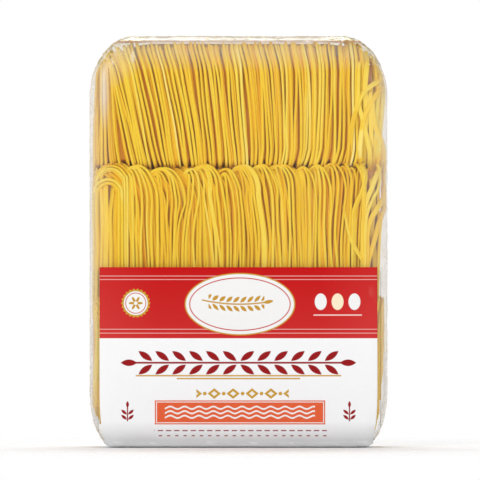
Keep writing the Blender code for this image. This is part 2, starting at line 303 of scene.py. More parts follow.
class Paint:
    """One material while it is being built."""

    def __init__(self, name):
        self.material = bpy.data.materials.new(name)
        self.material.use_nodes = True
        self.tree = self.material.node_tree
        self.tree.nodes.clear()

    def node(self, kind, settings=None, sockets=None):
        """Any node: its settings first, then the values or links of its sockets."""
        made = self.tree.nodes.new(kind)
        for name, value in (settings or {}).items():
            if name == "stops":
                set_stops(made.color_ramp, value)
            else:
                setattr(made, name, value)
        for name, value in (sockets or {}).items():
            if isinstance(value, Wire):
                self.tree.links.new(value.socket, made.inputs[name])
            else:
                made.inputs[name].default_value = value
        shown = [output for output in made.outputs if output.enabled]
        return Wire(self, shown[0]) if shown else None

    def place(self):
        """Object coordinates as three wires, with the vector first."""
        vector = self.node("ShaderNodeTexCoord")["Object"]
        parts = self.node("ShaderNodeSeparateXYZ", None, {0: vector})
        return vector, parts["X"], parts["Y"], parts["Z"]

    def stretch(self, vector, scale):
        return self.node("ShaderNodeMapping", None, {"Vector": vector, "Scale": scale})

    def noise(self, vector, scale, detail=2.0, roughness=0.5):
        sockets = {"Vector": vector, "Scale": scale, "Detail": detail, "Roughness": roughness}
        return self.node("ShaderNodeTexNoise", None, sockets)

    def spots(self, vector, scale, detail, floor, gain, roughness=0.5):
        """Patches where a noise rises over a floor, sharper with more gain."""
        return ((self.noise(vector, scale, detail, roughness) - floor) * gain).clamp()

    def colours(self, level, stops):
        """Colour for a level, blended between stops."""
        return self.node("ShaderNodeValToRGB", {"stops": stops}, {"Fac": level})

    def mix(self, factor, first, second):
        settings = {"data_type": "RGBA"}
        made = self.node("ShaderNodeMix", settings, {0: factor, 6: first, 7: second})
        return Wire(self, made.socket.node.outputs[2])

    def blend(self, factor, first, second):
        return self.node("ShaderNodeMixShader", None, {0: factor, 1: first, 2: second})

    def bump(self, height, strength, distance):
        sockets = {"Height": height, "Strength": strength, "Distance": distance}
        return self.node("ShaderNodeBump", None, sockets)

    def finish(self, shader):
        self.node("ShaderNodeOutputMaterial", None, {"Surface": shader})
        return self.material


def set_stops(color_ramp, stops):
    while len(color_ramp.elements) < len(stops):
        color_ramp.elements.new(0.5)
    for element, (position, colour) in zip(color_ramp.elements, stops):
        element.position = position
        element.color = colour


def principled(paint, sockets):
    return paint.node("ShaderNodeBsdfPrincipled", None, sockets)


def rise(value, start, width):
    """None before the start, one from a width past it on."""
    return ((value - start) / width).clamp()


def fall(value, end, width):
    """One until a width before the end, none from the end on."""
    return ((end - value) / width).clamp()


def stripe(value, centre, half):
    """One on the centre, none from half the stripe's width away on."""
    return (1 - abs(value - centre) / half).clamp()


# Film: one closed skin over the whole pack

def corner_excess(x, z, inset):
    """Under one inside the film's outline when it is shrunk by the inset, over one outside it."""
    side = HALF_WIDTH - inset
    x = abs(x)
    ends = ((TOP_CORNER, PACK_TOP - inset, 1), (BOTTOM_CORNER, PACK_BOTTOM + inset, -1))
    for (across, along), level, way in ends:
        across -= inset / 2
        along -= inset / 2
        past_x = x - (side - across)
        past_z = way * (z - level) + along
        if past_x > 0 and past_z > 0:
            return hypot(past_x / across, past_z / along)
    return max(x / side, abs(z - PACK_MIDDLE) / (HALF_HEIGHT - inset))


def last_inside(near, far, steps, excess):
    """The furthest value whose excess isn't past one, found by halving."""
    for _ in range(steps):
        middle = (near + far) / 2
        if excess(middle) <= 1.0:
            near = middle
        else:
            far = middle
    return near


def film_reach(x, z):
    """Half depth of the film at (x, z)."""
    gone = EDGE_RADIUS - last_inside(0.0, EDGE_RADIUS, 14, lambda inset: corner_excess(x, z, inset))
    return FLAT_DEPTH + sqrt(EDGE_RADIUS ** 2 - gone ** 2)


def film_side(z, inset):
    """How far out the film's outline lies at height z."""
    return last_inside(0.03, HALF_WIDTH, 14, lambda x: corner_excess(x, z, inset))


def film_spot(u, w, v):
    """Point of the smooth film for a point of the unit cube, with each share from -1 to 1."""
    spread = max(abs(u), abs(v))
    arc = pi * EDGE_RADIUS / 2
    wall = 2 * FLAT_DEPTH
    along = (w + 1) / 2 * (2 * arc + wall)
    if along < arc:
        turn = along / EDGE_RADIUS
        depth = -FLAT_DEPTH - EDGE_RADIUS * cos(turn)
        shrink = EDGE_RADIUS * (1 - sin(turn))
    elif along > arc + wall:
        turn = (along - arc - wall) / EDGE_RADIUS
        depth = FLAT_DEPTH + EDGE_RADIUS * sin(turn)
        shrink = EDGE_RADIUS * (1 - cos(turn))
    else:
        depth = -FLAT_DEPTH + along - arc
        shrink = 0.0
    if spread < 1e-6:
        return Vector((0.0, depth, PACK_MIDDLE))
    x, z = outline_point(u / spread, v / spread, shrink + FILM_INSET)
    z = PACK_MIDDLE + (z - PACK_MIDDLE) * spread
    z -= FLOOR_SLACK * ramp(-z, -0.03, -PACK_BOTTOM)
    return Vector((x * spread, depth * (1 + DEPTH_SLACK / HALF_DEPTH), z))


def outline_point(u, v, inset):
    """Where the ray through a point of the square's edge leaves the outline."""
    aim_x = u * HALF_WIDTH
    aim_z = v * HALF_HEIGHT

    def excess(reach):
        return corner_excess(aim_x * reach, PACK_MIDDLE + aim_z * reach, inset)

    reach = last_inside(0.6, 1.05, 16, excess)
    return aim_x * reach, PACK_MIDDLE + aim_z * reach


def crinkle(spot):
    """How far the film dents in at a point: sharp folds at the corners and edges, almost none in front."""
    x, y, z = spot
    edge = ramp(abs(x), 0.06, 0.072)
    top = ramp(z, PACK_TOP - 0.016, PACK_TOP - 0.002)
    corner = ramp(abs(x), 0.04, 0.062) * ramp(z, PACK_TOP - 0.03, PACK_TOP - 0.008)
    bottom = ramp(-z, -0.02, -0.002) * ramp(abs(x), 0.055, 0.068)
    loose = max(0.45 * edge, 0.55 * top, corner, bottom)
    fold = drift(x * 260, y * 150, z * 170) + 0.6 * drift(x * 620, y * 380, z * 430)
    ridge = 1 - min(abs(fold) * 2.2, 1.0)
    return FOLD_DEPTH * loose * ridge + WAVE_DEPTH * (1 + drift(x * 55, y * 40, z * 22))


def make_film():
    """A cube, cut fine and carried onto the pack's round-cornered form."""
    film = add_primitive("film_bag", bpy.ops.mesh.primitive_cube_add, size=2.0)
    edit_all(film, bpy.ops.mesh.subdivide, number_cuts=FILM_CUTS)
    for vertex in film.data.vertices:
        vertex.co = film_spot(*vertex.co)
    edit_all(film, bpy.ops.mesh.normals_make_consistent, inside=False)
    bpy.ops.object.shade_smooth()
    return film


def crumple(film):
    """Dent the film inwards where it is loose."""
    normals = [vertex.normal.copy() for vertex in film.data.vertices]
    for vertex, normal in zip(film.data.vertices, normals):
        vertex.co -= normal * crinkle(vertex.co)


def film_paint():
    """Clear glossy film, with milky folds, painted white highlights near the top, a speckle of gold, olive
    and white painted as glints where it is crumpled, and a painted shadow line beside the label.
    """
    paint = Paint("clear_film")
    vector, x, y, z = paint.place()
    out = abs(x)
    side = rise(out, 0.0685, 0.002)
    front = fall(y, -0.004, 0.002)
    top = rise(z, 0.1972, 0.0012)
    corner = fall(abs(y), 0.0188, 0.0012) * rise(out, 0.04, 0.008) * rise(z, 0.183, 0.006)
    patch = side * paint.spots(vector, 38.0, 1.0, 0.5, 10.0) * 0.35
    # Spots along the front's top edge that take the painted glints.
    top_edge_glints = paint.spots(paint.stretch(vector, (1.0, 0.1, 0.1)), 24.0, 1.0, 0.46, 9.0)
    top_edge_glints = top_edge_glints * rise(z, 0.1994, 0.0005) * front
    crumple = corner.most(patch).most(top_edge_glints * 0.6)
    shadow = stripe(x, -0.0683, 0.0005).most(stripe(x, 0.0692, 0.0005))
    shadow = shadow * fall(z, 0.0868, 0.001) * front
    speckle = paint.spots(vector, 520.0, 3.0, 0.44, 5.0, 0.65)
    # Painted highlights: a white veil over the top, reaching lower and stronger at the left, a white band
    # down the upper left side, and a soft white spot at the top left.
    left = fall(x, -0.048, 0.016)
    lower = left * 0.012
    soft = paint.noise(paint.stretch(vector, (1.0, 1.0, 0.5)), 60.0)
    painted_veil_highlight = rise(z + lower, 0.183, 0.01 + lower) * (0.1 + soft * 0.28 + left * 0.24)
    band = stripe(x, -0.0655, 0.0035) * rise(z, 0.15, 0.02) * fall(z, 0.196, 0.01)
    spot = (1 - ((x + 0.0515) / 0.0018) ** 2 - ((z - 0.1905) / 0.0045) ** 2).clamp()
    # Painted highlight: a white line along the top of the front; just under it, a thin brown line.
    painted_top_highlight = stripe(z, 0.1989, 0.0004) * front
    line = stripe(z, 0.1977, 0.0008) * front
    flank = rise(out, 0.06, 0.009) * 0.14
    # The film's milkiness, with the painted highlights and the painted shadow line beside the label mixed in.
    haze_and_painted_light = 0.01 + crumple * (0.22 + speckle * 0.3) + top * 0.52 + side * 0.15 + flank
    haze_and_painted_light = haze_and_painted_light.most(painted_veil_highlight).most(band * 0.55).most(spot * (0.45 + soft * 0.6))
    haze_and_painted_light = haze_and_painted_light.most(painted_top_highlight * 0.85).most(line * 0.55).most(shadow * 0.6).clamp()
    # Painted reflections and glints: where the film is crumpled, its colour is a speckle of olive, gold and
    # white.
    golden = paint.colours(paint.noise(vector, 620.0, 1.0), (
        (0.36, srgb(150, 136, 96)),
        (0.46, srgb(212, 190, 122)),
        (0.55, srgb(240, 228, 188)),
        (0.66, srgb(255, 253, 244)),
    ))
    plain = paint.mix(rise(z, 0.176, 0.012), srgb(240, 238, 236), srgb(250, 237, 204))
    mottle = paint.spots(paint.stretch(vector, (1.0, 0.5, 0.5)), 140.0, 2.0, 0.34, 3.0)
    plain = paint.mix(top, plain, paint.mix(mottle, srgb(190, 176, 134), srgb(244, 237, 214)))
    colour = paint.mix(crumple, plain, golden)
    fleck = paint.spots(paint.stretch(vector, (1.0, 0.3, 0.8)), 330.0, 2.0, 0.48, 7.0)
    top_highlight_colour = paint.mix(fleck, srgb(255, 255, 252), srgb(206, 186, 118))
    colour = paint.mix(line, paint.mix(painted_top_highlight, colour, top_highlight_colour), srgb(190, 128, 92))
    colour = paint.mix(shadow, colour, srgb(104, 92, 74))
    ripple = paint.noise(paint.stretch(vector, (1.0, 1.0, 0.35)), 160.0, 3.0, 0.6)
    normal = paint.bump(ripple, 0.25, 0.0006)
    clear = paint.node("ShaderNodeBsdfTransparent", None, {"Color": (0.985, 0.985, 0.975, 1.0)})
    milky = principled(paint, {"Base Color": colour, "Roughness": 0.35, "Normal": normal})
    silver = {"Base Color": (0.9, 0.89, 0.9, 1.0), "Metallic": 1.0, "Roughness": 0.07, "Normal": normal}
    glint = paint.node("ShaderNodeFresnel", None, {"IOR": 1.25, "Normal": normal}).least(0.3)
    through = paint.blend(haze_and_painted_light, clear, milky)
    return paint.finish(paint.blend(glint, through, principled(paint, silver)))


# Noodles

def end_drop(x):
    """How far a skein's front and back draw in at its ends."""
    reach = min(max(abs(x) - (SKEIN_HALF - EDGE_RADIUS), 0.0), EDGE_RADIUS)
    return EDGE_RADIUS - sqrt(EDGE_RADIUS ** 2 - reach ** 2)


def corner_height(x, axes, limit):
    """How far a rounded corner has left the level of the middle at x."""
    share = min(max((abs(x) - (SKEIN_HALF - axes[0])) / axes[0], 0.0), limit)
    return axes[1] * (1 - sqrt(1 - share ** 2))


def skein_corners(place, x):
    """Corners (y, z, radius) of a skein's section at x, from the back top round by the front."""
    drop = end_drop(x)
    front = -(SKEIN_FRONT - drop)
    tuck = -(SKEIN_TUCK - drop)
    back = SKEIN_BACK - drop
    if place == "upper":
        top = SKEIN_TOP - corner_height(x, SKEIN_CORNER, TOP_SHARE)
        corners = [(back, top, END_RADIUS), (front, top, END_RADIUS)]
    else:
        top = UPPER_JOIN if place == "middle" else LOWER_JOIN
        corners = [(back, top - JOIN_DROP, BACK_RADIUS), (front, top, LOOP_RADIUS)]
    if place == "lower":
        floor = SKEIN_FLOOR + corner_height(x, BOTTOM_CORNER, FLOOR_SHARE)
        corners += [(front, floor, FLOOR_RADIUS), (back, floor, END_RADIUS)]
    else:
        under = (UPPER_JOIN if place == "upper" else LOWER_JOIN) + JOIN_GAP
        foot = under - (FOOT_DROP if place == "upper" else 0.0)
        corners += [(tuck, foot, TUCK_RADIUS), (back, under - JOIN_DROP, BACK_RADIUS)]
    return corners


def round_section(corners, lift, bend_points, side_points):
    """Closed outline (y, z) round the corners, moved outwards by the lift, with even points on its sides."""
    bends = []
    count = len(corners)
    for index, (y, z, radius) in enumerate(corners):
        before = corners[index - 1]
        after = corners[(index + 1) % count]
        arm_in = atan2(y - before[0], z - before[1])
        arm_out = atan2(after[0] - y, after[1] - z)
        turn = (arm_out - arm_in + pi) % (2 * pi) - pi
        sign = copysign(1.0, turn)
        reach = max(radius + lift, LEAST_BEND)
        radius = reach - lift
        tangent = radius * tan(abs(turn) / 2)
        start = (y - tangent * sin(arm_in), z - tangent * cos(arm_in))
        middle_y = start[0] + sign * radius * cos(arm_in)
        middle_z = start[1] - sign * radius * sin(arm_in)
        bend = []
        for step in range(bend_points + 1):
            heading = arm_in + turn * step / bend_points
            spot = (middle_y - sign * reach * cos(heading), middle_z + sign * reach * sin(heading))
            bend.append(spot)
        bends.append(bend)
    outline = []
    for bend, after, points in zip(bends, bends[1:] + bends[:1], side_points):
        outline += bend
        (y, z), (y_next, z_next) = bend[-1], after[0]
        for step in range(1, points + 1):
            share = step / (points + 1)
            outline.append((y + (y_next - y) * share, z + (z_next - z) * share))
    return outline


class SkeinForm:
    """The section of one skein, ready for any x across the pack."""

    def __init__(self, place, lift):
        sides = (END_POINTS, FRONT_POINTS, END_POINTS, BACK_POINTS)
        self.start = -(HALF_WIDTH - ROW_MARGIN)
        count = int(2 * -self.start / ROW_STEP) + 2
        self.rows = []
        for index in range(count):
            x = min(self.start + index * ROW_STEP, -self.start)
            self.rows.append(round_section(skein_corners(place, x), lift, BEND_POINTS, sides))
        self.length = len(self.rows[0])
        heights = [z for y, z in self.rows[count // 2]]
        self.top = max(heights)
        self.bottom = min(heights)
        self.apex = heights.index(self.top)
        self.foot = heights.index(self.bottom)

    def at(self, x, index):
        """Place (y, z) of one of the section's points at x."""
        place = min(max((x - self.start) / ROW_STEP, 0.0), len(self.rows) - 1.001)
        row = int(place)
        share = place - row
        y_left, z_left = self.rows[row][index]
        y_right, z_right = self.rows[row + 1][index]
        return y_left + (y_right - y_left) * share, z_left + (z_right - z_left) * share

    def front(self, x, z):
        """Depth of the front side at (x, z)."""
        first = BEND_POINTS + END_POINTS + 1
        last = first + 2 * (BEND_POINTS + 1) + FRONT_POINTS
        spots = [self.at(x, index) for index in range(first, last)]
        for (y_above, above), (y_below, below) in zip(spots, spots[1:]):
            if below <= z <= above and above > below:
                return y_below + (z - below) / (above - below) * (y_above - y_below)
        return spots[-1][0] if z < spots[-1][1] else spots[0][0]


# By place across the pack: the slant of the strands, and how far and how high up they sweep to the left
UPPER_LEAN = ((-0.07, 0.08), (-0.064, -0.02), (-0.057, -0.2), (-0.042, -0.21), (-0.02, -0.14),
              (0.0, -0.09), (0.03, -0.02), (0.05, 0.03), (0.07, -0.06))
MIDDLE_LEAN = ((-0.07, 0.02), (-0.045, -0.05), (-0.02, 0.01), (0.01, -0.04), (0.04, 0.03), (0.07, 0.08))
TOP_SWEEP = ((-0.07, 0.012), (-0.04, 0.0115), (-0.015, 0.009), (0.01, 0.0065), (0.035, 0.0035),
             (0.06, -0.002))
SWEEP_HEIGHT = ((-0.07, 0.02), (-0.02, 0.018), (0.01, 0.014), (0.06, 0.012))
FOOT_SWEEP = ((-0.07, -0.001), (-0.03, 0.0), (0.0, 0.001), (0.03, 0.003), (0.06, 0.003))


def top_sweep(place, x, z, core_shade_and_end_brown, sweep_share, form):
    """How far left a loop has swept at height z: a quarter turn in front, and on over the back."""
    if place == "upper":
        return 0.0015 * ramp(z, form.top - 0.012, form.top)
    reach = blend_pairs(TOP_SWEEP, x) * sweep_share
    height = blend_pairs(SWEEP_HEIGHT, x)
    share = min(max((z - form.top + height) / height, 0.0), 1.0)
    bow = sqrt(1 - share ** 2)
    if not core_shade_and_end_brown:
        return reach * (1 - bow)
    return reach * (1 + 0.5 * bow) * ramp(z, form.bottom + 0.004, form.top - height)


def wound_path(form, place, x, rng):
    """One turn of a skein: a closed strand that leans, sweeps and wanders a little."""
    upper = place == "upper"
    lean = blend_pairs(UPPER_LEAN if upper else MIDDLE_LEAN, x) + rng.gauss(0, 0.014)
    sweep_share = rng.uniform(0.75, 1.2)
    wander = 0.65 if upper else 1.0
    foot = blend_pairs(FOOT_SWEEP, x) * rng.uniform(0.5, 1.3) if upper else 0.0
    middle = (form.top + form.bottom) / 2
    phase = rng.uniform(0, 100)
    lift = rng.uniform(-0.00022, 0.0002)
    lengthen = 0.0012 * drift(x * 85, 3.1, 0.4) + rng.gauss(0, 0.0004)
    if upper:
        lengthen += CORNER_RISE * ramp(abs(x), 0.05, 0.06)
    if place == "middle":
        lengthen -= MIDDLE_SINK
    points = []
    for index in range(form.length):
        y, z = form.at(x, index)
        core_shade_and_end_brown = index < form.apex or index > form.foot
        shifted = x + lean * (z - middle)
        shifted -= top_sweep(place, x, z, core_shade_and_end_brown, sweep_share, form)
        shifted -= foot * ramp(-z, -(form.bottom + 0.015), -form.bottom)
        shifted += wander * 0.0014 * drift(phase, z * 26, y * 20)
        shifted += wander * 0.002 * drift(x * 95, z * 26, 7.5 + y * 20)
        shifted = within(shifted, HALF_WIDTH - STRAND_ROOM)
        y, z = form.at(shifted, index)
        z += lengthen * ramp(z, form.top - 0.03, form.top)
        out = lift + 0.0002 * drift(phase + 31, z * 35, y * 35)
        shifted = within(shifted, film_side(z, CORNER_ROOM))
        limit = film_reach(shifted, z) - FILM_ROOM - crinkle(Vector((shifted, y, z)))
        y = max(-limit, min(limit, CARD_LOW.y - CARD_ROOM, y * (1 + out / HALF_DEPTH)))
        points.append(Vector((shifted, y, z)))
    return points


def smooth_path(controls, steps):
    """Catmull-Rom curve through the control points."""
    spots = [Vector(spot) for spot in controls]
    spots = [2 * spots[0] - spots[1]] + spots + [2 * spots[-1] - spots[-2]]
    path = []
    for before, start, end, after in zip(spots, spots[1:], spots[2:], spots[3:]):
        for step in range(steps):
            t = step / steps
            path.append(0.5 * (2 * start + (end - before) * t
                               + (2 * before - 5 * start + 4 * end - after) * t ** 2
                               + (3 * start - before - 3 * end + after) * t ** 3))
    return path + [spots[-2]]


def add_curve(name, dimensions):
    curve = bpy.data.curves.new(name, "CURVE")
    curve.dimensions = dimensions
    made = bpy.data.objects.new(name, curve)
    bpy.context.scene.collection.objects.link(made)
    return made, curve


def set_tones(piece, tones):
    """Write each vertex's tone, which the noodle paint reads."""
    tone = piece.data.attributes.new("tone", "FLOAT", "POINT")
    tone.data.foreach_set("value", tones)


def make_noodle_profile():
    """Cut section of a flat noodle: a slim oblong with its corners taken off."""
    profile, curve = add_curve("noodle_profile", "2D")
    spline = curve.splines.new("POLY")
    corners = list(NOODLE_CORNERS) + [(-x, -y) for x, y in NOODLE_CORNERS]
    spline.points.add(len(corners) - 1)
    for spot, (x, y) in zip(spline.points, corners):
        spot.co = (x * NOODLE_WIDTH / 2, y * NOODLE_THICKNESS / 2, 0, 1)
    spline.use_cyclic_u = True
    return profile, len(corners)


def sweep_noodles(name, paths, closed, rng, shades):
    """Flat noodles along the paths, in one mesh, each strand with its own tone, painted deeper as shade for
    those behind.
    """
    profile, sides = make_noodle_profile()
    piece, curve = add_curve(name, "3D")
    curve.bevel_mode = "OBJECT"
    curve.bevel_object = profile
    curve.use_fill_caps = not closed
    tones = []
    for path, shade in zip(paths, shades):
        spline = curve.splines.new("POLY")
        spline.points.add(len(path) - 1)
        width = rng.uniform(0.8, 1.12)
        twist = rng.gauss(0, 0.1)
        for spot, point in zip(spline.points, path):
            spot.co = (*point, 1)
            spot.radius = width
            spot.tilt = twist
        spline.use_cyclic_u = closed
        tone = max(rng.gauss(0, TONE_SPREAD) - shade, LOWEST_TONE)
        tones += [tone] * (sides * (len(path) if closed else len(path) + 2))
    make_active(piece)
    bpy.ops.object.convert(target="MESH")
    piece = bpy.context.object
    bpy.data.objects.remove(profile)
    set_tones(piece, (tones + [0.0] * len(piece.data.vertices))[:len(piece.data.vertices)])
    return piece


def make_core(name, place, depth, reach):
    """Inner mass of a skein, painted deeper in tone as shade, so that nothing shows through between its
    strands.
    """
    turned = {"vertices": 4 * (CORE_BEND_POINTS + 1), "radius": 0.01, "rotation": (0, pi / 2, 0)}
    core = add_primitive(name, bpy.ops.mesh.primitive_cylinder_add, **turned)
    bpy.ops.object.transform_apply(location=True, rotation=True, scale=True)
    low = [vertex for vertex in core.data.vertices if vertex.co.x < 0]
    high = [vertex for vertex in core.data.vertices if vertex.co.x > 0]
    for ring, x in zip((low, high), (-reach, reach)):
        ring.sort(key=lambda vertex: atan2(vertex.co.z, -vertex.co.y))
        outline = round_section(skein_corners(place, x), -depth, CORE_BEND_POINTS, (0, 0, 0, 0))
        middle_y = sum(y for y, z in outline) / len(outline)
        middle_z = sum(z for y, z in outline) / len(outline)
        outline.sort(key=lambda spot: atan2(spot[1] - middle_z, -(spot[0] - middle_y)))
        for vertex, (y, z) in zip(ring, outline):
            vertex.co = (x, y, z)
    set_tones(core, [CORE_SHADE_TONE] * len(core.data.vertices))
    return core


def wound_strands(place, last, layers, rng):
    """Closed strands side by side from one end of the skein to the other, layer under layer."""
    paths, shades = [], []
    middle = place == "middle"
    under = MIDDLE_UNDER if middle else 0.0
    for layer in range(layers):
        form = SkeinForm(place, TOP_LIFT - under - LAYER_STEP * layer)
        x = OPEN_START if middle else -FULL_REACH
        if layer:
            last = FULL_REACH
        if middle:
            last = OPEN_END
        while x < last:
            if not layer or all(abs(x - gap) > HALF_GAP for gap in SKEIN_GAPS[place]):
                paths.append(wound_path(form, place, x + rng.gauss(0, 0.00025), rng))
                # Painted shade: each layer further in is a step deeper in tone, the middle skein's one step
                # more.
                shades.append(LAYER_SHADE * (layer + (1 if middle else 0)))
            spread = OPEN_PITCH if x > OPEN_END and place != "lower" else 1.0
            x += NOODLE_PITCH * rng.uniform(0.96, 1.04) * spread
    return paths, shades


def end_rings(place, rng):
    """Nested turns of strand that close off both ends of a skein."""
    paths = []
    for way in (-1, 1):
        for ring in range(1, END_RINGS + 1):
            form = SkeinForm(place, TOP_LIFT - END_RING_STEP * ring)
            x = way * (CORE_REACHES[-1] + rng.uniform(-END_RING_SPREAD, END_RING_SPREAD))
            phase = rng.uniform(0, 100)
            path = []
            for index in range(form.length):
                y, z = form.at(x, index)
                path.append(Vector((x + END_RING_WANDER * drift(phase, y * 90, z * 60), y, z)))
            paths.append(path)
    return paths


def lay_on(form, controls, lift, steps=5):
    """Open strand through (x, z) places on the skein's front, in millimetres, off it by the lift.

    A third number sinks the strand that far back at its place.
    """
    spots = [Vector((x, sunk[0] if sunk else 0.0, z)) / 1000 for x, z, *sunk in controls]
    points = []
    for spot in smooth_path(spots, steps):
        spot.x = within(spot.x, film_side(spot.z, LAID_ROOM))
        depth = form.front(spot.x, spot.z) - lift / 1000 + spot.y
        limit = film_reach(spot.x, spot.z) - FILM_ROOM
        limit -= crinkle(Vector((spot.x, -limit, spot.z)))
        points.append(Vector((spot.x, max(depth, -limit), spot.z)))
    return points


# Where the strands of the middle skein's front start, behind the label, in millimetres
LEG_START = 72.0

# Arches at the left end of the middle skein, in millimetres: both legs, the top, and the lift off the front
ARCHES = (
    (-66.5, -51.2, 138.3, -0.9), (-69.9, -52.4, 137.8, -0.4), (-69.2, -54.0, 136.9, 0.2),
    (-68.4, -55.8, 135.5, -0.2), (-69.8, -57.0, 130.4, 0.5), (-68.3, -58.5, 128.8, 0.1),
)
ARCH_RISE = 1.15

# Humps that the middle skein's loops make, in millimetres: the first and the last leg, where the hump begins
# at its left, its height against the rest, how deep its loops nest, and how far its end legs lean over
HUMPS = (
    (-52.4, -40.4, -56.0, 0.4, 2.8, 0.0, 0.0), (-38.4, -25.4, -43.6, -0.4, 4.0, 0.0, -3.6),
    (-23.4, -17.8, -27.2, -0.6, 3.4, -3.8, -3.4), (-16.0, -7.4, -22.6, 0.5, 2.2, 3.0, 1.5),
    (-5.4, 0.4, -10.6, -1.2, 2.8, 1.8, 2.4), (2.4, 10.6, -4.2, -0.3, 1.8, 2.4, 2.2),
    (12.6, 18.2, 6.6, 0.4, 1.2, 1.8, 1.0), (20.2, 30.0, 14.4, 0.5, 0.9, 0.6, -0.4),
    (32.0, 37.6, 27.0, -0.3, 1.5, 0.2, 0.4), (39.4, 45.0, 34.6, 0.5, 1.0, 0.0, 0.6),
    (46.8, 52.2, 41.4, 1.3, 2.0, -1.6, -1.6), (54.0, 56.0, 47.2, 2.0, 2.6, -1.2, -0.6),
    (58.0, 61.2, 51.6, 2.0, 3.2, 0.0, 0.0),
)
HUMP_TOP = 136.9
HUMP_PITCH = 2.28

# Strands that show one by one at the skeins' ends, in millimetres: lift off the front, then places (x, z),
# some of them with how far back the strand has sunk there
SLOT_STRANDS = (
    (-0.8, (-66.6, 133, 1.5), (-66.4, 122), (-66.0, 108), (-66.4, 92), (-66.2, 74)),
    (-0.4, (-64.7, 130, 1.5), (-64.6, 122), (-64.2, 108), (-64.6, 92), (-64.4, 74)),
    (-0.3, (-60.9, 129, 2.0), (-61.8, 121, 0.6), (-62.6, 112), (-62.2, 95), (-62.4, 74)),
    (-0.7, (-59.2, 129, 1.5), (-59.9, 118), (-60.4, 106), (-60.0, 95), (-60.3, 74)),
)
UPPER_LOOSE = (
    (0.9, (59.5, 190, 7), (58.4, 186), (58.2, 179), (58.2, 168.5), (60.1, 161.1), (62.4, 151.4), (63.9, 144),
     (64, 134, 6)),
    (1.3, (71, 184.5, 6), (70.4, 180.5), (65.4, 176.8), (61.2, 173.4), (58.6, 168.5), (56.4, 161.8),
     (54.9, 152.9), (54, 136, 6)),
    (1.1, (71.2, 181, 5), (70.4, 177), (66.8, 171.5), (63.9, 166.3), (61.8, 162.6), (60.1, 155.8),
     (59.2, 146), (59, 134, 6)),
    (0.3, (67.5, 189, 7), (68.9, 182), (68.4, 173.8), (67.3, 164), (67.2, 155), (66.5, 146), (66, 134, 6)),
    (0.8, (66, 176, 6), (65.2, 168), (65.4, 163), (66.6, 156.5), (69.3, 149.8), (70.6, 144), (71.2, 134, 3)),
    (0.1, (65, 182, 6), (64.2, 170), (64.4, 158), (64.8, 148), (64.6, 134, 6)),
    (0.2, (66.5, 191, 7), (70.2, 185), (70.6, 177), (70, 166), (69, 155), (68.2, 146), (68, 134, 6)),
    (0.0, (62, 193, 7), (62.4, 186), (61.6, 176), (62, 164), (61.4, 150), (61, 134, 6)),
)
MIDDLE_LOOSE = (
    (1.0, (58.5, 137, 3), (62, 138.7), (65.3, 139.6), (68.3, 136.4), (68.9, 131.9), (68, 126), (64.6, 119.2),
     (62.4, 111.8), (61.8, 99), (61.8, 74)),
    (0.6, (69, 136.5, 2), (67.2, 132.6), (65, 126.6), (62.6, 120.6), (61.2, 113), (60.6, 104), (60.4, 74)),
    (0.2, (57.5, 137.5, 1.5), (60, 136.2), (61, 131), (61.2, 118), (60.9, 100), (60.9, 74)),
    (-1.6, (64.2, 136, 6), (65, 128), (65.8, 118), (65, 106), (66.4, 92), (66, 74)),
    (1.2, (71.5, 128, 2), (70.8, 122), (67.6, 116.7), (64.6, 111.5), (62.9, 106.2), (62.6, 98), (62.8, 74)),
    (0.8, (71.6, 122, 1.5), (70.6, 116), (68.3, 109.2), (66.8, 103.2), (64.6, 95.7), (62.8, 88), (62, 74)),
    (0.4, (70.5, 146, 2), (71.8, 139), (72, 130), (71.2, 121), (69.5, 112), (68.4, 100), (67.6, 74)),
    (0.9, (51.5, 118, 1.8), (53.2, 108), (54.9, 101.5), (57.6, 96), (60.6, 91), (62.5, 86), (63, 74)),
    (0.5, (52, 139, 2.5), (57, 139.3), (60.6, 136.6), (61.7, 131), (60, 124.5), (57.2, 118), (56, 110),
     (56, 74)),
)


def arch_controls(left, right, top, slope):
    """Places of a strand that comes up, turns over in the plane of the front, and goes down again."""
    half = (right - left) / 2
    middle = (left + right) / 2
    spring = top - half * ARCH_RISE
    controls = [(left, LEG_START), (left + 0.3, 100.0)]
    if spring > 108.0:
        controls.append((left, (spring + 100.0) / 2))
    for step in range(7):
        turn = pi * (1 - step / 6)
        controls.append((middle + half * cos(turn), spring + half * ARCH_RISE * sin(turn)))
    return controls + [(right + slope * 0.5, (spring + LEG_START) / 2), (right + slope, LEG_START)]


def hump_controls(leg, start, top, depth, nest, foot):
    """Places of a strand that comes up, turns over to the left in front, and dives behind."""
    begin = start + 1.6 * nest
    apex = begin + 0.42 * (leg - begin)
    peak = top - depth * nest ** 1.3
    fall = 11.0 + 0.35 * (leg - start)
    controls = [(leg + foot, LEG_START), (leg + foot, 98.0), (leg + 0.6 * foot, 111.0), (leg, peak - fall)]
    for step in range(1, 5):
        turn = pi / 2 * step / 4
        controls.append((apex + (leg - apex) * cos(turn), peak - fall + fall * sin(turn)))
    sunk = 2.6 - 0.5 * depth
    for turn, sink in ((0.7, 0.4 + 0.5 * sunk), (1.15, 1.6 + sunk), (1.5, 3.6 + sunk)):
        controls.append((apex - (apex - begin) * sin(turn), peak - 5.0 * (1 - cos(turn)), sink))
    return controls


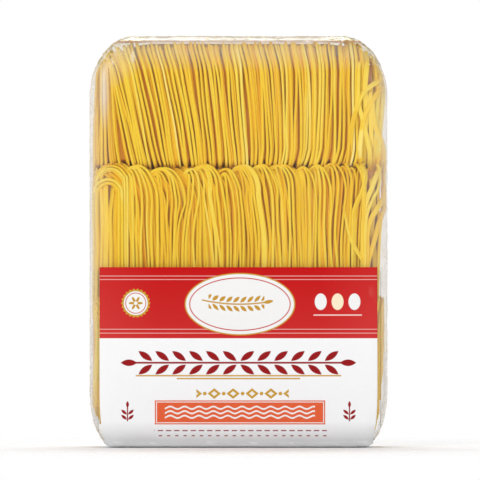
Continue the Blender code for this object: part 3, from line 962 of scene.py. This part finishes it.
def hump_strands(rng):
    """The middle skein's front: legs side by side whose tops nest into humps, the last over the first."""
    form = SkeinForm("middle", TOP_LIFT)
    paths = []
    for first, last, start, rise, depth, foot_first, foot_last in HUMPS:
        count = max(2, round((last - first) / HUMP_PITCH) + 1)
        for index in range(count):
            share = index / (count - 1)
            leg = first + share * (last - first) + rng.gauss(0, 0.25)
            foot = foot_first + share * (foot_last - foot_first)
            top = HUMP_TOP + rise + rng.gauss(0, 0.35)
            lift = -1.1 + 1.3 * share + rng.uniform(-0.3, 0.3)
            controls = hump_controls(leg, start + rng.gauss(0, 0.5), top, depth, 1 - share, foot)
            path = lay_on(form, controls, lift)
            phase = rng.uniform(0, 100)
            for spot in path:
                wander = 0.0012 * drift(phase, spot.z * 34, 0.5)
                wander += 0.0018 * drift(leg * 0.09, spot.z * 26, 7.5)
                spot.x += wander * ramp(-spot.z, -0.134, -0.122)
            paths.append(path)
    return paths


def end_arches(rng):
    """The nested arches at the left end of the middle skein."""
    form = SkeinForm("middle", TOP_LIFT)
    paths = []
    for left, right, top, lift in ARCHES:
        legs = left + rng.gauss(0, 0.2), right + rng.gauss(0, 0.2)
        paths.append(lay_on(form, arch_controls(*legs, top, rng.uniform(-0.5, 1.0)), lift))
    return paths


def loose_strands(place, table):
    form = SkeinForm(place, TOP_LIFT)
    return [lay_on(form, controls, lift) for lift, *controls in table]


def join_pieces(name, pieces):
    make_active(pieces[0])
    for piece in pieces:
        piece.select_set(True)
    bpy.ops.object.join()
    joined = bpy.context.object
    joined.name = name
    joined.data.name = name
    edit_all(joined, bpy.ops.mesh.normals_make_consistent, inside=False)
    bpy.ops.object.shade_smooth_by_angle(angle=radians(40))
    return joined


def make_skein(place):
    rng = random.Random(SEED + len(place) * 7)
    upper = place == "upper"

    def sweep(part, paths, closed, shade):
        pieces.append(sweep_noodles(f"{place}_{part}", paths, closed, rng, [shade] * len(paths)))

    paths, shades = wound_strands(place, UPPER_END if upper else FULL_REACH, 3 if upper else 2, rng)
    pieces = [sweep_noodles(f"{place}_wound", paths, True, rng, shades)]
    sweep("rings", end_rings(place, rng), True, LAYER_SHADE)
    if upper:
        sweep("ends", loose_strands(place, UPPER_LOOSE), False, LOOSE_SHADE)
    if place == "middle":
        paths = hump_strands(rng) + end_arches(rng) + loose_strands(place, SLOT_STRANDS)
        sweep("front", paths, False, 0.0)
        sweep("ends", loose_strands(place, MIDDLE_LOOSE), False, LOOSE_SHADE)
    for number, core_reach in enumerate(CORE_REACHES):
        pieces.append(make_core(f"{place}_core_{number}", place, CORE_DEPTH[place], core_reach))
    return join_pieces(f"noodles_{place}", pieces)


def noodle_paint():
    """Dry egg dough: golden, matt, a little rough, each strand with its own tone, and painted shade that
    makes the strands behind and the cores deeper.
    """
    paint = Paint("egg_noodle")
    vector, x, y, z = paint.place()
    tone = paint.node("ShaderNodeAttribute", {"attribute_name": "tone"})["Fac"]
    blotch = paint.noise(paint.stretch(vector, (1.0, 1.0, 0.25)), 90.0, 3.0, 0.55)
    grain = paint.noise(vector, 2600.0, 2.0, 0.6)
    level = (0.5 + tone * 0.17 + (blotch - 0.5) * 0.7 + (grain - 0.5) * 0.2).clamp()
    colour = paint.colours(level, (
        (0.0, srgb(238, 178, 40)),
        (0.25, srgb(244, 199, 44)),
        (0.55, srgb(247, 211, 54)),
        (0.85, srgb(249, 224, 92)),
        (1.0, srgb(252, 232, 138)),
    ))
    # Painted shade: the cores take a deeper orange, and kraft brown at the front of their ends.
    end = rise(abs(x), 0.059, 0.003) * fall(y, -0.012, 0.001)
    core_shade_and_end_brown = paint.mix(end, srgb(226, 158, 50), srgb(204, 148, 92))
    colour = paint.mix((-4.0 - tone).clamp(), colour, core_shade_and_end_brown)
    rough = paint.noise(paint.stretch(vector, (1.0, 1.0, 0.5)), 1400.0, 3.0, 0.6)
    normal = paint.bump(rough, 0.35, 0.00012)
    dough = {"Base Color": colour, "Roughness": 0.7, "Specular IOR Level": 0.15, "Normal": normal}
    return paint.finish(principled(paint, dough))


def card_paint():
    """Matt kraft board, with fibres and a few darker flecks."""
    paint = Paint("kraft_card")
    vector, x, y, z = paint.place()
    fibre = paint.noise(paint.stretch(vector, (1.0, 1.0, 4.0)), 500.0, 4.0, 0.65)
    fleck = paint.spots(vector, 900.0, 2.0, 0.62, 8.0)
    colour = paint.mix((fibre * 1.3 - 0.15).clamp(), srgb(168, 122, 76), srgb(200, 158, 112))
    colour = paint.mix(fleck * 0.5, colour, srgb(126, 86, 50))
    board = {"Base Color": colour, "Roughness": 0.8, "Normal": paint.bump(fibre, 0.3, 0.0001)}
    return paint.finish(principled(paint, board))


# Label

def label_spot(along):
    """Place (y, z) on a loose wrap: down the front, round the bottom edge, under, and up the back."""
    if along < WRAP_FRONT:
        return -WRAP_REACH, LABEL_FRONT_TOP - along
    along -= WRAP_FRONT
    if along < WRAP_BEND:
        turn = along / WRAP_RADIUS
        return -WRAP_REACH + WRAP_RADIUS * (1 - cos(turn)), WRAP_LOW + WRAP_RADIUS * (1 - sin(turn))
    along -= WRAP_BEND
    if along < WRAP_FLAT:
        return -WRAP_REACH + WRAP_RADIUS + along, WRAP_LOW
    along -= WRAP_FLAT
    if along < WRAP_BEND:
        turn = along / WRAP_RADIUS
        return WRAP_REACH - WRAP_RADIUS * (1 - sin(turn)), WRAP_LOW + WRAP_RADIUS * (1 - cos(turn))
    return WRAP_REACH, WRAP_LOW + WRAP_RADIUS + along - WRAP_BEND


def make_label(form):
    """A flat sheet, wrapped round the pack's bottom, pressed onto the film and given its thickness."""
    cuts = {"x_subdivisions": LABEL_COLUMNS, "y_subdivisions": LABEL_ROWS}
    label = add_primitive("label_paper", bpy.ops.mesh.primitive_grid_add, size=1.0, **cuts)
    back = LABEL_BACK_TOP - WRAP_RADIUS - WRAP_LOW
    length = WRAP_FRONT + WRAP_BEND + WRAP_FLAT + WRAP_BEND + back
    for vertex in label.data.vertices:
        x, share = vertex.co.x * LABEL_WIDTH, 0.5 - vertex.co.y
        y, z = label_spot(share * length)
        vertex.co = (x, y, z)
    press = label.modifiers.new("press", "SHRINKWRAP")
    press.target = form
    press.wrap_method = "NEAREST_SURFACEPOINT"
    press.wrap_mode = "OUTSIDE_SURFACE"
    press.offset = LABEL_STANDOFF
    apply_all(label)
    for vertex in label.data.vertices:
        x, y, z = vertex.co
        loose = ramp(-z, -0.016, -0.004) * ramp(abs(x), 0.045, 0.064) + 0.25 * ramp(-z, -0.012, -0.002)
        crease = max(0.0, 1 - abs(drift(x * 210, y * 60, z * 130)) * 3.5) * loose * 0.0004
        vertex.co = (x * (1 - crease * 4), y * (1 - crease / 0.03), z + crease * 0.5)
    wall = label.modifiers.new("paper", "SOLIDIFY")
    wall.thickness = LABEL_PAPER
    wall.offset = 1.0
    apply_all(label)
    make_active(label)
    bpy.ops.object.shade_smooth_by_angle(angle=radians(40))
    return label


class Print:
    """Shapes printed on the label's front, as soft-edged masks."""

    def __init__(self, paint):
        self.vector, self.x, y, self.z = paint.place()
        self.front = ((y + 0.01) * -900.0).clamp()

    def edge(self, inside):
        """One where the distance is inside a shape, none outside, with a thin soft edge."""
        return (inside * (1 / PRINT_EDGE) + 0.5).clamp()

    def line(self, value, centre, half):
        return self.edge(half - abs(value - centre))

    def box(self, left, right, bottom, top):
        return self.edge((self.x - left).least(right - self.x).least(self.z - bottom).least(top - self.z))

    def frame(self, left, right, bottom, top, line):
        outer = self.box(left, right, bottom, top)
        return outer - self.box(left + line, right - line, bottom + line, top - line)

    def oval(self, across, up, centre, size):
        """Oval about a centre, for any pair of wires."""
        near = ((across - centre[0]) / size[0]) ** 2 + ((up - centre[1]) / size[1]) ** 2
        return self.edge((1 - near ** 0.5) * min(size))

    def leaf(self, across, up, centre, size, turn):
        """Pointed leaf about a centre, lying at the given turn from level."""
        level, upright = cos(turn), sin(turn)
        along = (across - centre[0]) * level + (up - centre[1]) * upright
        beside = (up - centre[1]) * level - (across - centre[0]) * upright
        return self.edge((1 - (along / size[0]) ** 2) * size[1] - abs(beside))

    def repeat(self, value, pitch):
        """Place within a repeat, measured from its middle."""
        return value % pitch - pitch / 2


def label_paint():
    """White paper printed in red, orange and gold, all plain shapes."""
    paint = Paint("label_paper")
    art = Print(paint)
    x, z = art.x, art.z
    mirrored = abs(x)
    paper = paint.noise(art.vector, 1500.0, 3.0, 0.6)
    colour = paint.mix(paper, srgb(240, 241, 242), srgb(249, 249, 250))

    def lay(mask, ink):
        nonlocal colour
        colour = paint.mix(mask * art.front, colour, ink)

    # The red band is paler towards its bottom and towards its sides.
    paler_red_share = fall(z, 0.087, 0.034) * 0.55 + rise(mirrored, 0.04, 0.025) * 0.4
    # Painted highlights: pale pink streaks over the red band near its right edge.
    streaks = paint.spots(paint.stretch(art.vector, (1.0, 1.0, 0.3)), 140.0, 2.0, 0.52, 6.0)
    haze_and_painted_light = streaks * stripe(x, 0.062, 0.005) * stripe(z, 0.068, 0.012)
    band = paint.mix(haze_and_painted_light * 0.35, paint.mix(paler_red_share.clamp(), RED, SOFT_RED), PALE_PINK)
    lay(art.edge(z - 0.0534), band)
    for height in (0.0837, 0.082, 0.0578, 0.0559):
        lay(art.line(z, height, 0.00018) * 0.65, PALE_PINK)
    # Oval with an ear of wheat
    centre = (0.0007, 0.07)
    lay(art.oval(x, z, centre, (0.0269, 0.0152)), GOLD)
    lay(art.oval(x, z, centre, (0.0263, 0.0146)), PAPER_WHITE)
    ring = art.oval(x, z, centre, (0.0247, 0.013)) - art.oval(x, z, centre, (0.0242, 0.0125))
    lay(ring, RED)
    along = x - centre[0]
    upright = abs(z - centre[1] - along * along * 6.0)
    ear = art.repeat(along, 0.0034)
    grains = art.leaf(ear, upright, (0.0, 0.0022), (0.0021, 0.00085), 0.75)
    reach = art.edge(along + 0.0153) * art.edge(0.0119 - along)
    lay(grains * reach, WHEAT_GOLD)
    lay(art.edge(0.00035 - upright) * art.edge(along + 0.0185) * art.edge(0.0153 - along), WHEAT_GOLD)
    lay(art.leaf(along, upright, (0.0138, 0.0), (0.0026, 0.0009), 0.0), WHEAT_GOLD)
    # Seal with a toothed edge
    across, up = x + 0.05, z - 0.0705
    turn = up.math("ARCTAN2", up, across)
    far = (across ** 2 + up ** 2) ** 0.5
    lay(art.edge(0.0068 + (turn * 22.0).alone("COSINE") * 0.0003 - far), GOLD)
    lay(art.edge(0.0058 - far), PAPER_WHITE)
    lay(art.line(far, 0.0049, 0.00018), RED)
    lay(art.edge(0.0023 + (turn * 6.0).alone("COSINE") * 0.0011 - far), WHEAT_GOLD)
    lay(art.edge(0.0009 - far), PAPER_WHITE)
    # Three eggs at the right of the band
    for place, tone in ((0.04, PAPER_WHITE), (0.0482, CREAM), (0.0564, PAPER_WHITE)):
        lay(art.oval(x, z, (place, 0.0712), (0.0029, 0.004)), tone)
    lay(art.box(0.0365, 0.06, 0.0644, 0.065), PALE_PINK)
    # Garland of dark red leaves over a gold stroke
    leaves = art.repeat(mirrored, 0.0082)
    sway = z - 0.0415
    for up, size, tilt in ((0.0033, (0.0041, 0.0015), 0.62), (-0.0033, (0.0041, 0.0015), -0.62)):
        lay(art.leaf(leaves, sway, (0.0002, up), size, tilt) * art.edge(0.0492 - mirrored), DEEP_RED)
    lay(art.edge(0.00045 - abs(sway)) * art.edge(0.052 - mirrored), DEEP_RED)
    lay(art.leaf(mirrored, sway, (0.0533, 0.0), (0.004, 0.0016), 0.0), DEEP_RED)
    for height, length in ((0.0352, 0.05), (0.0338, 0.03)):
        lay(art.line(z, height, 0.00035) * art.edge(length - mirrored), GOLD)
    # Gold lozenges and dots
    bead = abs(art.repeat(x - 0.002, 0.0092)) * 0.8 + abs(z - 0.0265)
    row = art.line(x, 0.002, 0.0225)
    lay(art.edge(0.0026 - bead) * row, GOLD)
    lay(art.edge(0.0012 - bead) * row, PAPER_WHITE)
    dots = art.repeat(x - 0.0066, 0.0092)
    lay(art.oval(dots, z, (0.0, 0.0265), (0.0009, 0.0009)) * row, GOLD)
    # Orange panel with noodle lines
    lay(art.box(-0.0407, 0.0422, 0.0115, 0.0232), ORANGE)
    lay(art.frame(-0.0401, 0.0416, 0.0121, 0.0226, 0.0004), PAPER_WHITE)
    waved = z - (x * 900.0).alone("SINE") * 0.0006
    for height in (0.0152, 0.0174, 0.0196):
        lay(art.line(waved, height, 0.0004) * art.line(x, 0.0007, 0.0365), PAPER_WHITE)
    # Small broken rule
    dash = art.repeat(x, 0.004)
    for height, length in ((0.0085, 0.0013), (0.006, 0.0008)):
        lay(art.line(z, height, 0.00028) * art.edge(length - abs(dash)) * art.line(x, 0.001, 0.042), DEEP_RED)
    # A small sprig at each side
    spread = abs(mirrored - 0.054)
    lay(art.edge(0.0003 - spread) * art.edge(0.02 - z) * art.edge(z - 0.013), DEEP_RED)
    for up in (0.015, 0.0175):
        lay(art.leaf(spread, z, (0.0017, up), (0.0018, 0.0007), 0.7), DEEP_RED)
    lay(art.leaf(z, spread, (0.0212, 0.0), (0.0017, 0.0007), 0.0), DEEP_RED)
    # Painted shade along the bottom edge, where the label bends under, and painted highlights on the creases
    # there
    painted_shade_low = fall(z, 0.013, 0.0085) * rise(z, 0.0005, 0.003) * (0.75 + paint.noise(art.vector, 45.0) * 0.4)
    colour = paint.mix(painted_shade_low * 0.32, colour, srgb(120, 118, 116))
    # Painted highlights: the creases at the very bottom are painted near white.
    crease = paint.spots(paint.stretch(art.vector, (1.0, 1.0, 3.0)), 110.0, 2.0, 0.54, 8.0)
    colour = paint.mix(crease * fall(z, 0.004, 0.0015) * 0.6, colour, srgb(252, 252, 252))
    gloss = paint.noise(art.vector, 60.0)
    ripple = paint.noise(paint.stretch(art.vector, (1.0, 1.0, 1.6)), 75.0, 2.0, 0.4)
    normal = paint.bump(ripple, 0.25, 0.0003)
    sheen = 0.42 + gloss * 0.12
    sheet = {"Base Color": colour, "Roughness": sheen, "Specular IOR Level": 0.08, "Normal": normal}
    return paint.finish(principled(paint, sheet))


# Surroundings

def stage_paint():
    """White floor that fades out round the pack."""
    paint = Paint("studio_white")
    vector, x, y, z = paint.place()
    gone = rise((x ** 2 + y ** 2) ** 0.5, 0.09, 0.12)
    white = principled(paint, {"Base Color": (0.96, 0.96, 0.96, 1.0), "Roughness": 0.9})
    nothing = paint.node("ShaderNodeBsdfTransparent")
    return paint.finish(paint.blend(gone, white, nothing))


def make_stage():
    """Floor, and a white surround that is dimmer overhead."""
    disc = {"vertices": STAGE_SIDES, "radius": STAGE_RADIUS, "fill_type": "NGON"}
    floor = add_primitive("studio_floor", bpy.ops.mesh.primitive_circle_add, **disc)
    floor.data.materials.append(stage_paint())
    world = bpy.data.worlds.new("studio")
    bpy.context.scene.world = world
    world.use_nodes = True
    nodes, links = world.node_tree.nodes, world.node_tree.links
    nodes["Background"].inputs["Color"].default_value = (1.0, 1.0, 1.0, 1.0)
    heading = nodes.new("ShaderNodeTexCoord")
    parts = nodes.new("ShaderNodeSeparateXYZ")
    dimming = nodes.new("ShaderNodeMapRange")
    for name, value in (("From Min", 0.08), ("From Max", 0.35), ("To Min", 1.0), ("To Max", OVERHEAD_LIGHT)):
        dimming.inputs[name].default_value = value
    links.new(heading.outputs["Generated"], parts.inputs[0])
    links.new(parts.outputs["Z"], dimming.inputs["Value"])
    links.new(dimming.outputs["Result"], nodes["Background"].inputs["Strength"])


def add_softbox(name, place, size, power):
    bpy.ops.object.light_add(type="AREA", location=place)
    lamp = bpy.context.object
    lamp.name = name
    lamp.data.shape = "RECTANGLE"
    lamp.data.size, lamp.data.size_y = size
    lamp.data.energy = power
    lamp.rotation_euler = (Vector(LIGHT_AIM) - Vector(place)).to_track_quat("-Z", "Y").to_euler()


def add_camera():
    x = (PHOTO_SIZE / 2 - PHOTO_MIDDLE) / PHOTO_SCALE
    z = (PHOTO_FLOOR - PHOTO_SIZE / 2) / PHOTO_SCALE
    place = (x, FILM_LOW.y - CAMERA_DISTANCE, z)
    bpy.ops.object.camera_add(location=place, rotation=(pi / 2, 0, 0))
    camera = bpy.context.object
    camera.data.sensor_width = SENSOR_WIDTH
    camera.data.lens = SENSOR_WIDTH * (CAMERA_DISTANCE + HALF_DEPTH / 2) / (PHOTO_SIZE / PHOTO_SCALE)
    bpy.context.scene.camera = camera


def dress(piece, paint, node):
    """Give a piece its finish and its body, and hide the node that it stands for."""
    piece.data.materials.clear()
    piece.data.materials.append(paint)
    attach(piece, "root")
    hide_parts(node)


def main():
    bpy.context.scene.view_settings.view_transform = "Standard"
    noodles = noodle_paint()
    for place in ("upper", "middle", "lower"):
        dress(make_skein(place), noodles, f"skein_{place}")
    film = make_film()
    label = make_label(film)
    crumple(film)
    dress(film, film_paint(), "film_pack")
    dress(label, label_paint(), "label")
    kraft = card_paint()
    for node in bpy.data.objects:
        if node.name.startswith("backing_card"):
            node.data.materials.clear()
            node.data.materials.append(kraft)
    make_stage()
    for softbox in SOFTBOXES:
        add_softbox(*softbox)
    add_camera()


main()
